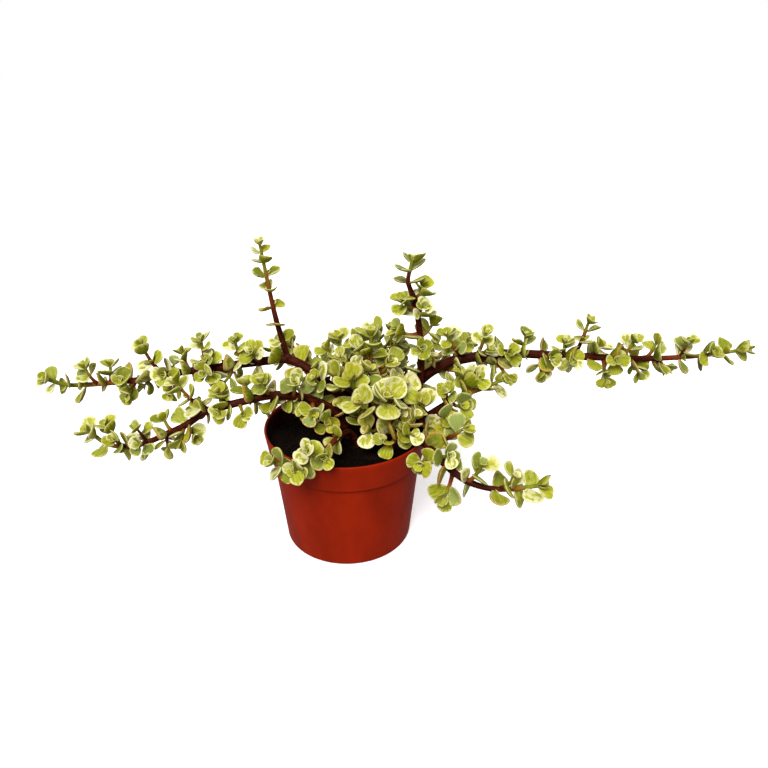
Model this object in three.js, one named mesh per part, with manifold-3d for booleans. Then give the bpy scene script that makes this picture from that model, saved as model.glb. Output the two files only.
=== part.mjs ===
// Variegated elephant bush (Portulacaria afra) growing in a round plastic nursery pot.
// Millimetres, +Z up. The origin is the middle of the pot's flat underside.
//
// The plant is a clump of cuttings. Each cutting stands in its own hole in the soil and is
// one body: a tapered woody stem, its side shoots, and fleshy leaves in crossed pairs.

import * as THREE from 'three';
import * as BufferGeometryUtils from 'three/addons/utils/BufferGeometryUtils.js';
import Module from 'manifold-3d';

const wasm = await Module();
wasm.setup();

// ---------------------------------------------------------------- driving dimensions

const POT = {
  height: 92,
  rimRadius: 60,
  bandFootRadius: 56.8,    // outside of the rim band, at its lower edge
  bandHeight: 21.5,        // rim band, lip to lower edge
  neckRadius: 54.8,        // outside of the wall, just under the band
  baseRadius: 47.8,
  wall: 1.5,
  lipRound: 0.8,
  footRound: 1.6,
  drainRadius: 4,
  drainCircle: 31,
  drains: 4,
  segments: 32,
};

const SOIL = {
  top: 79,                 // mean height of the surface
  swell: 0.8,              // height of its lumps
  mound: 1.5,              // how far it rises among the stems
  gap: 0.3,                // to the pot and under the stems
  segments: 18,
  holeClearance: 1,
};

const STEM = {
  depth: 27,               // buried length
  collar: 5,               // straight length above the soil
  bare: 20,                // leafless length above the soil
  sides: 4,
  step: 15,                // straight steps of a main stem
  shootSides: 3,
  shootStep: 14,           // straight steps of a shoot
  samplesPerSpan: 12,
};

const LEAF = {
  width: 0.96,             // of the leaf's length
  thickness: 0.19,         // of the leaf's length
  tipInset: 1.2,           // from a stem's end back to its last pair
  sunk: 0.15,              // where its root starts, of the stem's radius
  young: 0.7,              // length of the leaves at a tip, of the stem's full-grown ones
  growth: 0.12,            // how much longer each older pair is, likewise
  youngGap: 0.42,          // distance between the last two pairs, likewise
  gapGrowth: 0.22,         // how much longer each older gap is, likewise
  probe: 0.125,            // radius of the spheres that stand for a leaf, of its length
  clearance: 0.45,         // kept between leaves of different cuttings
};

// Leaves turn their faces to the light, and LIGHT_PULL says how strongly.
const LIGHT = new THREE.Vector3(0.05, -0.7, 0.71);
const LIGHT_PULL = 1.2;

// Half outline of a leaf, from its root to its tip: [along, across].
const LEAF_OUTLINE = [
  [0.0, 0.0],
  [0.6, 1.0],
  [0.95, 0.64],
];

// Spheres that keep leaves clear of each other: [along, across].
const LEAF_PROBES = [
  [0.28, 0.0],
  [0.48, -0.5],
  [0.48, 0.5],
  [0.7, -0.72],
  [0.7, 0.0],
  [0.7, 0.72],
  [0.93, -0.34],
  [0.93, 0.34],
];

// Ways to bend a leaf clear of its neighbours: [bend, swing, twist in degrees, scale].
const LEAF_TRIALS = [
  [0, 0, 0, 1.0],
  [14, 0, 0, 1.0],
  [-14, 0, 0, 1.0],
  [0, 20, 0, 1.0],
  [0, -20, 0, 1.0],
  [0, 0, 35, 1.0],
  [0, 0, -35, 1.0],
  [22, 15, 20, 0.9],
  [-22, -15, -20, 0.9],
  [0, 30, 30, 0.92],
  [0, -30, -30, 0.92],
  [30, 0, 0, 0.88],
  [-25, 0, 0, 0.88],
  [10, 45, 0, 0.86],
  [10, -45, 0, 0.86],
];

// The cuttings. foot is where each stands in the soil, route the points it then passes
// through, radii its stem's at the foot and tip, leaf the length of its full-grown leaves.
// A shoot is [where it leaves the stem, 0 to 1, its reach in x, y and z, leaf scale].
const CUTTINGS = [
  {
    name: 'stem_left_upper', seed: 11, foot: [3, 16], radii: [4, 1.4], leaf: 14,
    route: [[0, 14, 98], [-8, 13, 112], [-23, 15, 124], [-41, 20, 134], [-75, 22, 130],
      [-109, 22, 125], [-135, 22, 121], [-156, 21, 117], [-184, 19, 115], [-203, 14, 116],
      [-216, 6, 125]],
    shoots: [
      [0.367, -16, 9, 84, 0.76],
      [0.24, -10, -12, 12],
      [0.3, -8, -14, 0],
      [0.44, -4, -11, 13],
      [0.485, -4, -4, 19],
      [0.51, -8, -6, -12],
      [0.585, -2, 2, 22],
      [0.63, -6, 8, 11],
      [0.66, -4, -12, -11],
      [0.7, -13, 0, 24],
      [0.775, -4, -10, -7],
      [0.84, 0, 4, 12],
      [0.875, -7, 0, 13],
    ],
  },
  {
    name: 'stem_left_lower', seed: 23, foot: [-1, 1], radii: [3.8, 1.3], leaf: 13.5,
    young: 0.8,
    route: [[-6, -1, 100], [-25, -5, 114], [-48, -9, 120], [-71, -13, 117], [-98, -18, 111],
      [-114, -22, 101], [-130, -24, 95], [-144, -26, 89], [-157, -28, 89], [-168, -30, 94],
      [-176, -30, 103]],
    shoots: [
      [0.3, 2, -14, -2],
      [0.36, 3, -8, 14],
      [0.43, -4, -4, 13],
      [0.49, -2, 2, 11],
      [0.52, 4, -10, -3],
      [0.61, -23, 6, 19],
      [0.7, -2, -6, -9],
      [0.74, -5, 3, 8],
      [0.9, -8, 3, 14],
    ],
  },
  {
    name: 'stem_front_left', seed: 31, foot: [8, -13], radii: [2.6, 1.2], leaf: 13,
    young: 0.88,
    route: [[3, -18, 95], [-5, -34, 99], [-16, -52, 97], [-30, -64, 96], [-44, -69, 103]],
    shoots: [
      [0.7, 4, -10, 3],
      [0.76, -1, -6, 11],
      [0.84, -2, -10, 2],
    ],
  },
  {
    name: 'stem_front_right', seed: 43, foot: [38, -12], radii: [3.6, 1.3], leaf: 14.5,
    young: 0.85,
    route: [[42, -15, 93], [50, -26, 96], [62, -44, 94], [75, -57, 86], [90, -64, 81],
      [106, -68, 81], [128, -71, 86]],
    shoots: [
      [0.42, 27, -4, 14],
      [0.47, -7, -16, -1],
      [0.5, 8, -13, 6],
      [0.62, -6, -11, -13],
      [0.7, 7, -3, 14],
      [0.84, 7, -5, 12],
    ],
  },
  {
    name: 'stem_right_long', seed: 59, foot: [36, 24], radii: [4.5, 1.1], leaf: 14,
    route: [[42, 24, 100], [55, 22, 117], [72, 21, 130], [92, 20, 136], [120, 22, 138],
      [168, 22, 136], [215, 20, 135], [257, 16, 139], [286, 12, 146]],
    shoots: [
      [0.35, -14, -4, 20],
      [0.33, 9, -14, -10],
      [0.375, 5, -6, 20],
      [0.42, 9, -14, -11],
      [0.53, 0, -8, -11],
      [0.585, -1, -3, 12],
      [0.61, 8, 2, 26],
      [0.68, 2, -8, -14],
      [0.72, 7, -3, 15],
      [0.78, 8, 6, 10],
    ],
  },
  {
    name: 'stem_right_upright', seed: 61, foot: [43, 5], radii: [3.6, 1.3], leaf: 12,
    young: 0.85,
    route: [[50, 9, 104], [54, 13, 122], [54, 16, 146], [50, 18, 178], [44, 20, 196],
      [47, 20, 208]],
    shoots: [
      [0.665, -16, 3, 2],
      [0.65, 9, 4, 8],
      [0.8, 4, 2, 13],
      [0.78, -10, -3, 8],
    ],
  },
  {
    name: 'stem_right_middle', seed: 71, foot: [44, -4], radii: [3, 1.2], leaf: 14.5,
    young: 0.88,
    route: [[44, -7, 92], [55, -8, 100], [66, -7, 108], [80, -4, 115], [96, 1, 119],
      [112, 6, 124]],
    shoots: [
      [0.36, -4, -12, 10],
      [0.44, 6, -14, 0],
      [0.5, -6, -10, 16],
      [0.55, 8, -16, 4],
      [0.66, 6, -12, 3],
      [0.74, 2, 4, 14],
      [0.82, 2, -4, 12],
    ],
  },
  {
    name: 'stem_centre_front', seed: 83, foot: [22, -10], radii: [2.9, 1.4], leaf: 16.5,
    young: 0.95,
    route: [[24, -11, 98], [27, -13, 112], [29, -20, 124]],
    shoots: [
      [0.5, 13, -9, 10],
      [0.56, -6, -10, 4],
      [0.64, 14, -7, 10],
      [0.74, -14, -7, 12],
      [0.8, 12, 2, 16],
    ],
  },
  {
    name: 'stem_centre_left', seed: 97, foot: [-8, -6], radii: [2.4, 1.2], leaf: 13.5,
    young: 0.9,
    route: [[-12, -7, 94], [-20, -6, 102], [-29, -8, 110]],
    shoots: [
      [0.52, 2, -9, 2],
      [0.7, 3, -12, 6],
    ],
  },
  {
    name: 'stem_centre_middle', seed: 101, foot: [14, 6], radii: [3, 1.4], leaf: 16,
    young: 0.92,
    route: [[11, 5, 98], [8, 3, 114], [4, -2, 128]],
    shoots: [
      [0.5, -5, -13, 12],
      [0.6, -14, -6, 9],
      [0.72, 13, -6, 10],
      [0.8, -15, 4, 12],
      [0.86, 9, 8, 12],
    ],
  },
  {
    name: 'stem_centre_top', seed: 113, foot: [20, 20], radii: [3, 1.3], leaf: 14.5,
    young: 0.85,
    route: [[20, 22, 100], [18, 26, 122], [18, 27, 150]],
    shoots: [
      [0.52, -18, 2, 12],
      [0.62, -24, 6, 18],
      [0.66, 14, -6, 16],
      [0.78, -8, -4, 14],
    ],
  },
  {
    name: 'stem_top_left', seed: 117, foot: [6, 32], radii: [2.8, 1.2], leaf: 14.5,
    young: 0.85,
    route: [[3, 33, 100], [-3, 37, 122], [-6, 38, 143]],
    shoots: [
      [0.6, -16, -2, 30],
      [0.68, -2, -12, 16],
      [0.75, 11, -2, 24],
    ],
  },
  {
    name: 'stem_top_right', seed: 127, foot: [22, 37], radii: [2.9, 1.2], leaf: 14,
    young: 0.85,
    route: [[30, 37, 102], [29, 40, 126], [20, 41, 148]],
    shoots: [
      [0.62, 3, -2, 38],
      [0.8, 10, -4, 11],
    ],
  },
  {
    name: 'stem_low_front', seed: 131, foot: [33, -22], radii: [2.3, 1.2], leaf: 14.5,
    young: 0.9,
    route: [[36, -24, 94], [42, -26, 104], [49, -28, 112]],
    shoots: [
      [0.6, -7, -8, 5],
      [0.75, 7, -8, 3],
    ],
  },
  {
    name: 'stem_back_left', seed: 139, foot: [-12, 30], radii: [3.2, 1.2], leaf: 13.5,
    route: [[-15, 34, 98], [-25, 47, 112], [-38, 66, 118], [-50, 86, 116], [-58, 102, 112]],
    shoots: [
      [0.4, -8, -2, 14],
      [0.52, 8, 8, 12],
    ],
  },
  {
    name: 'stem_back_middle', seed: 149, foot: [12, 41], radii: [3, 1.2], leaf: 13.5,
    route: [[14, 49, 98], [12, 62, 112], [12, 80, 114], [16, 98, 108]],
    shoots: [
      [0.45, 10, 4, 14],
      [0.62, -10, 8, 10],
    ],
  },
  {
    name: 'stem_back_right', seed: 151, foot: [30, 33], radii: [3.2, 1.2], leaf: 13.5,
    route: [[33, 31, 93], [46, 39, 104], [61, 50, 113], [76, 66, 120], [90, 84, 118],
      [100, 102, 114]],
    shoots: [
      [0.42, -4, 8, 14],
      [0.54, 14, 2, 8],
    ],
  },
];

// ---------------------------------------------------------------- small tools

const rad = THREE.MathUtils.degToRad;
const vec = ([x, y, z]) => new THREE.Vector3(x, y, z);

// A seeded draw between 0 and 1 (Park and Miller's generator).
function randomFrom(seed) {
  let state = seed * 7919 + 17;
  return () => {
    state = (state * 16807) % 2147483647;
    return state / 2147483647;
  };
}

// A closed triangle mesh from points and faces, as a manifold solid.
function solidFrom(points, faces) {
  const vertProperties = new Float32Array(points.flatMap((p) => [p.x, p.y, p.z]));
  const triVerts = new Uint32Array(faces.flat());
  return new wasm.Manifold(new wasm.Mesh({ numProp: 3, vertProperties, triVerts }));
}

// A closed three.js geometry as a manifold solid, without the slivers at its poles.
function solidFromGeometry(geometry) {
  const bare = geometry.clone();
  bare.deleteAttribute('normal');
  bare.deleteAttribute('uv');
  const merged = BufferGeometryUtils.mergeVertices(bare, 1e-4);
  const place = merged.attributes.position;
  const points = [];
  for (let i = 0; i < place.count; i += 1) {
    points.push(new THREE.Vector3().fromBufferAttribute(place, i));
  }
  const index = merged.index.array;
  const faces = [];
  for (let i = 0; i < index.length; i += 3) {
    const face = [index[i], index[i + 1], index[i + 2]];
    if (new Set(face).size === 3) {
      faces.push(face);
    }
  }
  return solidFrom(points, faces);
}

// The largest body of a solid: fusing can leave a sealed hollow or a loose scrap.
function largestBody(solid) {
  const bodies = solid.decompose();
  return bodies.reduce((best, body) => (body.volume() > best.volume() ? body : best));
}

function meshFrom(solid, name, material) {
  const { vertProperties, triVerts } = solid.getMesh();
  const geometry = new THREE.BufferGeometry();
  geometry.setAttribute('position', new THREE.BufferAttribute(vertProperties, 3));
  geometry.setIndex(new THREE.BufferAttribute(triVerts, 1));
  geometry.computeVertexNormals();
  const mesh = new THREE.Mesh(geometry, material);
  mesh.name = name;
  return mesh;
}

// A lathed solid round Z. The profile is [radius, height], from axis to axis.
function lathe(profile, segments) {
  const points = profile.map(([radius, height]) => new THREE.Vector2(radius, height));
  const geometry = new THREE.LatheGeometry(points, segments);
  geometry.rotateX(Math.PI / 2);
  return geometry;
}

// An upright six-sided cutter over a point of the ground plan.
function drill(x, y, radius, bottom, length) {
  const geometry = new THREE.CylinderGeometry(radius, radius, length, 6);
  geometry.rotateX(Math.PI / 2);
  geometry.translate(x, y, bottom + length / 2);
  return solidFromGeometry(geometry);
}

// ---------------------------------------------------------------- pot

const bandFoot = POT.height - POT.bandHeight;

// Outside and inside radius of the pot's wall at a height.
function potOutside(z) {
  if (z < bandFoot) {
    return POT.baseRadius + ((POT.neckRadius - POT.baseRadius) * z) / bandFoot;
  }
  const share = (z - bandFoot) / POT.bandHeight;
  return POT.bandFootRadius + (POT.rimRadius - POT.bandFootRadius) * share;
}

const potInside = (z) => potOutside(z) - POT.wall;

function makePot() {
  const { height, wall, lipRound, footRound, baseRadius, rimRadius, neckRadius } = POT;
  const bandStep = 0.6;
  const innerStep = 3;
  const profile = [
    [0, 0],
    [baseRadius - footRound, 0],
    [potOutside(footRound), footRound],
    [neckRadius, bandFoot],
    [POT.bandFootRadius, bandFoot + bandStep],
    [rimRadius, height - lipRound],
    [rimRadius - lipRound / 2, height],
    [rimRadius - wall - lipRound / 2, height],
    [potInside(bandFoot + innerStep), bandFoot + innerStep],
    [neckRadius - wall, bandFoot],
    [potInside(wall + 1), wall + 1],
    [potInside(wall) - 1, wall],
    [0, wall],
  ];
  let pot = solidFromGeometry(lathe(profile, POT.segments));
  for (let i = 0; i < POT.drains; i += 1) {
    const angle = (i * 2 * Math.PI) / POT.drains;
    const x = POT.drainCircle * Math.cos(angle);
    const y = POT.drainCircle * Math.sin(angle);
    pot = pot.subtract(drill(x, y, POT.drainRadius, -wall, wall * 3));
  }
  return pot;
}

// ---------------------------------------------------------------- soil

// Height of the soil's surface: low lumps, and a mound among the stems.
function soilHeight(x, y) {
  const lumps = Math.sin(x * 0.21 + 1.3) * Math.cos(y * 0.17 - 0.4)
    + 0.6 * Math.sin(x * 0.09 - y * 0.31 + 2.1);
  const mound = Math.exp(-((x - 20) ** 2 + y ** 2) / 900);
  return SOIL.top + SOIL.swell * lumps + SOIL.mound * mound;
}

function makeSoil() {
  const floor = POT.wall + SOIL.gap;
  const corner = 3;
  const slack = SOIL.gap + 0.6;
  const profile = [
    [0, floor],
    [potInside(floor) - slack - 1, floor],
    [potInside(floor + corner) - slack, floor + corner],
    [potInside(bandFoot - 1) - slack, bandFoot - 1],
    [potInside(bandFoot + 4) - slack, bandFoot + 4],
    [potInside(SOIL.top) - slack, SOIL.top],
  ];
  const edge = profile[profile.length - 1][0];
  for (const share of [0.84, 0.62, 0.36, 0]) {
    profile.push([edge * share, SOIL.top]);
  }
  const geometry = lathe(profile, SOIL.segments);
  const place = geometry.attributes.position;
  for (let i = 0; i < place.count; i += 1) {
    const x = place.getX(i);
    const y = place.getY(i);
    if (place.getZ(i) > SOIL.top - 0.01 && Math.hypot(x, y) < edge - 1) {
      place.setZ(i, soilHeight(x, y));
    }
  }
  let soil = solidFromGeometry(geometry);
  const bottom = SOIL.top - STEM.depth - SOIL.gap;
  for (const { foot, radii } of CUTTINGS) {
    const radius = radii[0] + SOIL.holeClearance;
    soil = soil.subtract(drill(foot[0], foot[1], radius, bottom, STEM.depth * 1.5));
  }
  return soil;
}

// ---------------------------------------------------------------- stems

// A smooth line through points, as places at even steps along it.
function evenPlaces(points, step) {
  const curve = new THREE.CatmullRomCurve3(points, false, 'catmullrom', 0.5);
  const count = (points.length - 1) * STEM.samplesPerSpan;
  const fine = [];
  const distances = [];
  for (let i = 0; i <= count; i += 1) {
    fine.push(curve.getPoint(i / count));
    distances.push(i > 0 ? distances[i - 1] + fine[i].distanceTo(fine[i - 1]) : 0);
  }
  const steps = Math.max(2, Math.round(distances[count] / step));
  const places = [];
  let low = 0;
  for (let i = 0; i <= steps; i += 1) {
    const distance = (distances[count] * i) / steps;
    while (low < count - 1 && distances[low + 1] < distance) {
      low += 1;
    }
    const share = (distance - distances[low]) / (distances[low + 1] - distances[low]);
    places.push(fine[low].clone().lerp(fine[low + 1], share));
  }
  return places;
}

// A stem's line as even straight steps: at each a place, a direction, a side direction
// carried along without twist, and the distance from the foot.
function lineThrough(points, side, step) {
  const places = evenPlaces(points, step);
  const count = places.length - 1;
  const directions = places.map((place, i) => {
    const before = places[Math.max(0, i - 1)];
    const after = places[Math.min(count, i + 1)];
    return after.clone().sub(before).normalize();
  });
  const sides = [];
  const distances = [0];
  let carried = side;
  for (let i = 0; i <= count; i += 1) {
    carried = carried.clone().addScaledVector(directions[i], -carried.dot(directions[i]));
    carried.normalize();
    sides.push(carried);
    if (i > 0) {
      distances.push(distances[i - 1] + places[i].distanceTo(places[i - 1]));
    }
  }
  return { places, directions, sides, distances, length: distances[count] };
}

// Place, direction and side at a distance along a line.
function along(line, distance) {
  let i = 1;
  while (i < line.distances.length - 1 && line.distances[i] < distance) {
    i += 1;
  }
  const start = line.distances[i - 1];
  const share = (distance - start) / (line.distances[i] - start);
  const mix = (list) => list[i - 1].clone().lerp(list[i], share);
  return {
    place: mix(line.places),
    direction: mix(line.directions).normalize(),
    side: mix(line.sides).normalize(),
  };
}

const radiusAt = (stem, distance) => {
  const share = distance / stem.line.length;
  return stem.radii[0] + (stem.radii[1] - stem.radii[0]) * share;
};

// A side shoot, bent upward from the main stem to its reach.
function growShoot(main, [at, dx, dy, dz, scale = 0.94]) {
  const distance = at * main.line.length;
  const from = along(main.line, distance).place;
  const reach = new THREE.Vector3(dx, dy, dz);
  const middle = from.clone().addScaledVector(reach, 0.5);
  middle.z -= reach.length() * 0.12;
  const points = [from, middle, from.clone().add(reach)];
  const parentRadius = radiusAt(main, distance);
  return {
    line: lineThrough(points, new THREE.Vector3(0, 1, 0.1), STEM.shootStep),
    radii: [Math.min(1.3 + reach.length() / 60, parentRadius * 0.8), 1],
    bare: parentRadius + 2.5,
    leaf: main.leaf * scale,
    young: main.young,
    sides: STEM.shootSides,
  };
}

// The main stem and side shoots of a cutting.
function growStems({ foot, route, radii, leaf, shoots, young = LEAF.young }) {
  const [x, y] = foot;
  const low = SOIL.top - STEM.depth;
  const high = SOIL.top + STEM.collar;
  const buried = [[x, y, low], [x, y, (low + high) / 2], [x, y, high]];
  const points = [...buried, ...route].map(vec);
  const main = {
    line: lineThrough(points, new THREE.Vector3(1, 0, 0), STEM.step),
    radii,
    bare: STEM.depth + STEM.bare,
    leaf,
    young,
    sides: STEM.sides,
  };
  return [main, ...shoots.map((shoot) => growShoot(main, shoot))];
}

// A closed tapered tube along a stem's line.
function tube(stem) {
  const { line, sides } = stem;
  const steps = line.places.length - 1;
  const points = [];
  const faces = [];
  for (let ring = 0; ring <= steps; ring += 1) {
    const side = line.sides[ring];
    const across = new THREE.Vector3().crossVectors(line.directions[ring], side);
    const radius = radiusAt(stem, line.distances[ring]);
    for (let i = 0; i < sides; i += 1) {
      const angle = (i * 2 * Math.PI) / sides;
      points.push(line.places[ring].clone()
        .addScaledVector(side, radius * Math.cos(angle))
        .addScaledVector(across, radius * Math.sin(angle)));
    }
  }
  for (let ring = 0; ring < steps; ring += 1) {
    for (let i = 0; i < sides; i += 1) {
      const a = ring * sides + i;
      const b = ring * sides + ((i + 1) % sides);
      faces.push([a, b, b + sides], [a, b + sides, a + sides]);
    }
  }
  const last = steps * sides;
  for (let i = 1; i < sides - 1; i += 1) {
    faces.push([0, i + 1, i], [last, last + i, last + i + 1]);
  }
  return solidFrom(points, faces);
}

// ---------------------------------------------------------------- leaves

// A leaf turned to the light, as a frame: root, axis, face, side, length and half width.
function leafFrame(node, radius, turn, bend, twist, length) {
  const across = new THREE.Vector3().crossVectors(node.direction, node.side);
  const out = node.side.clone().multiplyScalar(Math.cos(turn))
    .addScaledVector(across, Math.sin(turn));
  const axis = out.clone().multiplyScalar(Math.sin(bend))
    .addScaledVector(node.direction, Math.cos(bend));
  const pull = LIGHT_PULL * (1 - 0.85 * node.direction.z ** 6);
  const face = node.direction.clone().multiplyScalar(Math.sin(bend))
    .addScaledVector(out, -Math.cos(bend))
    .addScaledVector(LIGHT, pull);
  face.addScaledVector(axis, -face.dot(axis)).normalize();
  face.applyAxisAngle(axis, twist);
  const side = new THREE.Vector3().crossVectors(face, axis);
  const root = node.place.clone().addScaledVector(out, radius * LEAF.sunk);
  return { root, axis, face, side, length, half: (length * LEAF.width) / 2 };
}

// A point of a leaf: along and across it, and above its face, as shares of its size.
const onLeaf = (leaf, u, v, w) => leaf.root.clone()
  .addScaledVector(leaf.axis, u * leaf.length)
  .addScaledVector(leaf.side, v * leaf.half)
  .addScaledVector(leaf.face, w * leaf.length);

// A leaf as a solid: a flat upper face over its outline and a thick, keeled underside.
function leafSolid(leaf) {
  const level = LEAF.thickness * 0.25;
  const points = [onLeaf(leaf, 0, 0, 0)];
  const right = [0];
  const left = [0];
  for (const [u, v] of LEAF_OUTLINE.slice(1)) {
    right.push(points.length);
    left.push(points.length + 1);
    points.push(onLeaf(leaf, u, v, level), onLeaf(leaf, u, -v, level));
  }
  const keel = points.length;
  points.push(onLeaf(leaf, 0.6, 0, level - LEAF.thickness));
  const faces = [];
  for (let i = 1; i < right.length; i += 1) {
    faces.push([right[i - 1], right[i], keel], [left[i], left[i - 1], keel]);
    faces.push([right[i], right[i - 1], left[i]], [right[i - 1], left[i - 1], left[i]]);
  }
  faces.push([right[right.length - 1], left[left.length - 1], keel]);
  return solidFrom(points, faces.filter((face) => new Set(face).size === 3));
}

// Everything placed so far, as spheres: where, how large, and on which stem.
const placed = [];

function addStemProbes(stem, cutting) {
  const count = Math.ceil(stem.line.length / 2.5);
  for (let i = 0; i <= count; i += 1) {
    const distance = (stem.line.length * i) / count;
    const { x, y, z } = along(stem.line, distance).place;
    placed.push({ x, y, z, radius: radiusAt(stem, distance), cutting, stem, distance });
  }
}

function leafProbes(leaf) {
  const radius = LEAF.probe * leaf.length;
  return LEAF_PROBES.map(([u, v]) => {
    const { x, y, z } = onLeaf(leaf, u, v, 0);
    return { x, y, z, radius };
  });
}

// Whether a sphere meets the pot's wall or the soil.
function meetsPot({ x, y, z, radius }) {
  const margin = radius + 0.4;
  const reach = Math.hypot(x, y);
  const level = Math.min(z, POT.height);
  if (z > POT.height + margin || reach > potOutside(level) + margin) {
    return false;
  }
  return reach > potInside(level) - margin || z < SOIL.top + 2 + margin;
}

// Whether a leaf's sphere at a distance along its stem meets one that is already placed.
function meetsOther(probe, other, cutting, stem, distance) {
  let reach = probe.radius + other.radius;
  if (other.cutting !== cutting) {
    reach += LEAF.clearance;
  } else if (other.stem === stem && Math.abs(other.distance - distance) < 6) {
    return false;
  } else if (other.stem !== stem) {
    reach *= 0.85;
  }
  const dx = probe.x - other.x;
  const dy = probe.y - other.y;
  const dz = probe.z - other.z;
  return dx * dx + dy * dy + dz * dz < reach * reach;
}

function isClear(leaf, cutting, stem, distance) {
  return !leafProbes(leaf).some((probe) => meetsPot(probe)
    || placed.some((other) => meetsOther(probe, other, cutting, stem, distance)));
}

// A leaf bent clear of what is there already, or nothing where there is no room.
function fitLeaf(node, radius, turn, bend, twist, length, cutting, stem, distance) {
  for (const [moreBend, swing, moreTwist, scale] of LEAF_TRIALS) {
    const leaf = leafFrame(
      node,
      radius,
      turn + rad(swing),
      bend + rad(moreBend),
      twist + rad(moreTwist),
      length * scale,
    );
    if (isClear(leaf, cutting, stem, distance)) {
      return [leaf];
    }
  }
  return [];
}

// Crossed pairs of leaves from a stem's tip back to its bare foot.
function growLeaves(stem, cutting, random) {
  const leaves = [];
  const phase = random() * Math.PI;
  let distance = stem.line.length - LEAF.tipInset;
  let pair = 0;
  while (distance > stem.bare) {
    const node = along(stem.line, distance);
    const radius = radiusAt(stem, distance);
    const size = stem.leaf * Math.min(1, stem.young + LEAF.growth * pair);
    const couple = [];
    for (const side of [0, Math.PI]) {
      const turn = phase + (pair * Math.PI) / 2 + side + rad(24) * (random() - 0.5);
      const bend = rad(Math.min(72, 46 + 12 * pair)) + rad(22) * (random() - 0.5);
      const twist = rad(60) * (random() - 0.5);
      const length = size * (0.86 + 0.28 * random());
      couple.push(...fitLeaf(
        node, radius, turn, bend, twist, length, cutting, stem, distance,
      ));
    }
    for (const leaf of couple) {
      leaves.push(leaf);
      for (const probe of leafProbes(leaf)) {
        placed.push({ ...probe, cutting, stem: null, distance });
      }
    }
    const gap = stem.leaf * Math.min(1.18, LEAF.youngGap + LEAF.gapGrowth * pair);
    distance -= gap * (0.9 + 0.25 * random());
    pair += 1;
  }
  return leaves;
}

// ---------------------------------------------------------------- the whole plant

const potMaterial = new THREE.MeshStandardMaterial({ color: 0xa3260e, roughness: 0.42 });
const soilMaterial = new THREE.MeshStandardMaterial({ color: 0x1c120c, roughness: 1 });
const foliage = () => new THREE.MeshStandardMaterial({ color: 0x9fb257, roughness: 0.4 });

const model = new THREE.Group();
model.name = 'elephant_bush';
model.add(meshFrom(makePot(), 'pot', potMaterial));
model.add(meshFrom(makeSoil(), 'soil', soilMaterial));

// All stems are placed before the first leaf, so that leaves keep clear of every stem.
const grown = CUTTINGS.map((cutting) => ({ cutting, stems: growStems(cutting) }));
for (const { cutting, stems } of grown) {
  stems.forEach((stem) => addStemProbes(stem, cutting));
}

for (const { cutting, stems } of grown) {
  const random = randomFrom(cutting.seed);
  const pieces = stems.flatMap((stem) => {
    const leaves = growLeaves(stem, cutting, random);
    return [tube(stem), ...leaves.map(leafSolid)];
  });
  const fused = largestBody(wasm.Manifold.union(pieces));
  model.add(meshFrom(fused, cutting.name, foliage()));
}

export default model;
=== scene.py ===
"""A variegated elephant bush (Portulacaria afra) in its nursery pot, dressed around the CAD frame.

The same growth rule as the CAD's places every stem and leaf; here they get their fine form.
Lengths are in millimetres until a mesh is made, and metres in Blender.
"""

from math import ceil, cos, exp, hypot, pi, radians, sin, sqrt, tau
from types import SimpleNamespace as Values

import bmesh
import bpy
import numpy as np
from mathutils import Matrix, Vector, noise


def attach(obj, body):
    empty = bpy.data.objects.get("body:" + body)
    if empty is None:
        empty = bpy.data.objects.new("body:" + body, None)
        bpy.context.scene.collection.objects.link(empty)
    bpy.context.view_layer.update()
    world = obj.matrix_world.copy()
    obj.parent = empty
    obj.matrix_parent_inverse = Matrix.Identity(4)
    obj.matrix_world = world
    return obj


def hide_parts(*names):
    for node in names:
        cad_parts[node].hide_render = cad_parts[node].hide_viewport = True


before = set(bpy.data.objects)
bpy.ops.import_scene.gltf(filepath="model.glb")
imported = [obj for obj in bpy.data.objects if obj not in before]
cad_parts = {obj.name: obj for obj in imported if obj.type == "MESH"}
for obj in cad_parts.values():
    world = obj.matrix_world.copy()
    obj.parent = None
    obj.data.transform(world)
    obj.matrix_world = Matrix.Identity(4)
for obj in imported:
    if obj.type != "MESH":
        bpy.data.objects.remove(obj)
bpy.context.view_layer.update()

MM = 0.001
# Park and Miller's generator: its multiplier and modulus, and how a seed starts it.
MULTIPLIER, MODULUS, SEED_STEP, SEED_START = 16807, 2147483647, 7919, 17
SEEDS = Values(young=1000, leaves=2000, wood=3000, spurs=4000, crumbs=7)

# ---- driving dimensions

POT = Values(
    height=92, rim_radius=60, band_foot_radius=56.8, band_height=21.5, neck_radius=54.8,
    base_radius=47.8, wall=1.5, drain_radius=4, drain_circle=31, drains=4, margin=0.4,
)
BAND_FOOT = POT.height - POT.band_height
SOIL = Values(top=79, swell=0.8, mound=1.5, margin=2)
STEM = Values(depth=27, collar=5, bare=20, step=15, samples_per_span=12, sphere_step=2.5)
SHOOT = Values(step=14, sag=0.12, thinnest=1.3, per_length=60, of_parent=0.8, tip=1, bare=2.5)
LEAF = Values(
    width=0.96, tip_inset=1.2, sunk=0.15, growth=0.12, least=0.86, drawn=0.28, young_gap=0.42,
    gap_growth=0.22, widest_gap=1.18, least_gap=0.9, drawn_gap=0.25, probe=0.125,
    clearance=0.45, overlap=0.85, own_reach=6,
)
# In degrees: how far a tip's leaves lean out, how much more each older pair does and at most,
# and the ranges of the draws.
LEAN = Values(young=46, growth=12, most=72, drawn=22, turn=24, twist=60)
LIGHT = np.array((0.05, -0.7, 0.71))
LIGHT_PULL, UPRIGHT_LOSS = 1.2, 0.85  # an upright stem's leaves turn less to the light

# Middles of the spheres over a leaf: shares of its length along it and of its half to a side.
LEAF_PROBES = ((0.28, 0), (0.48, -0.5), (0.48, 0.5), (0.7, -0.72), (0.7, 0), (0.7, 0.72),
               (0.93, -0.34), (0.93, 0.34))

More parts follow.
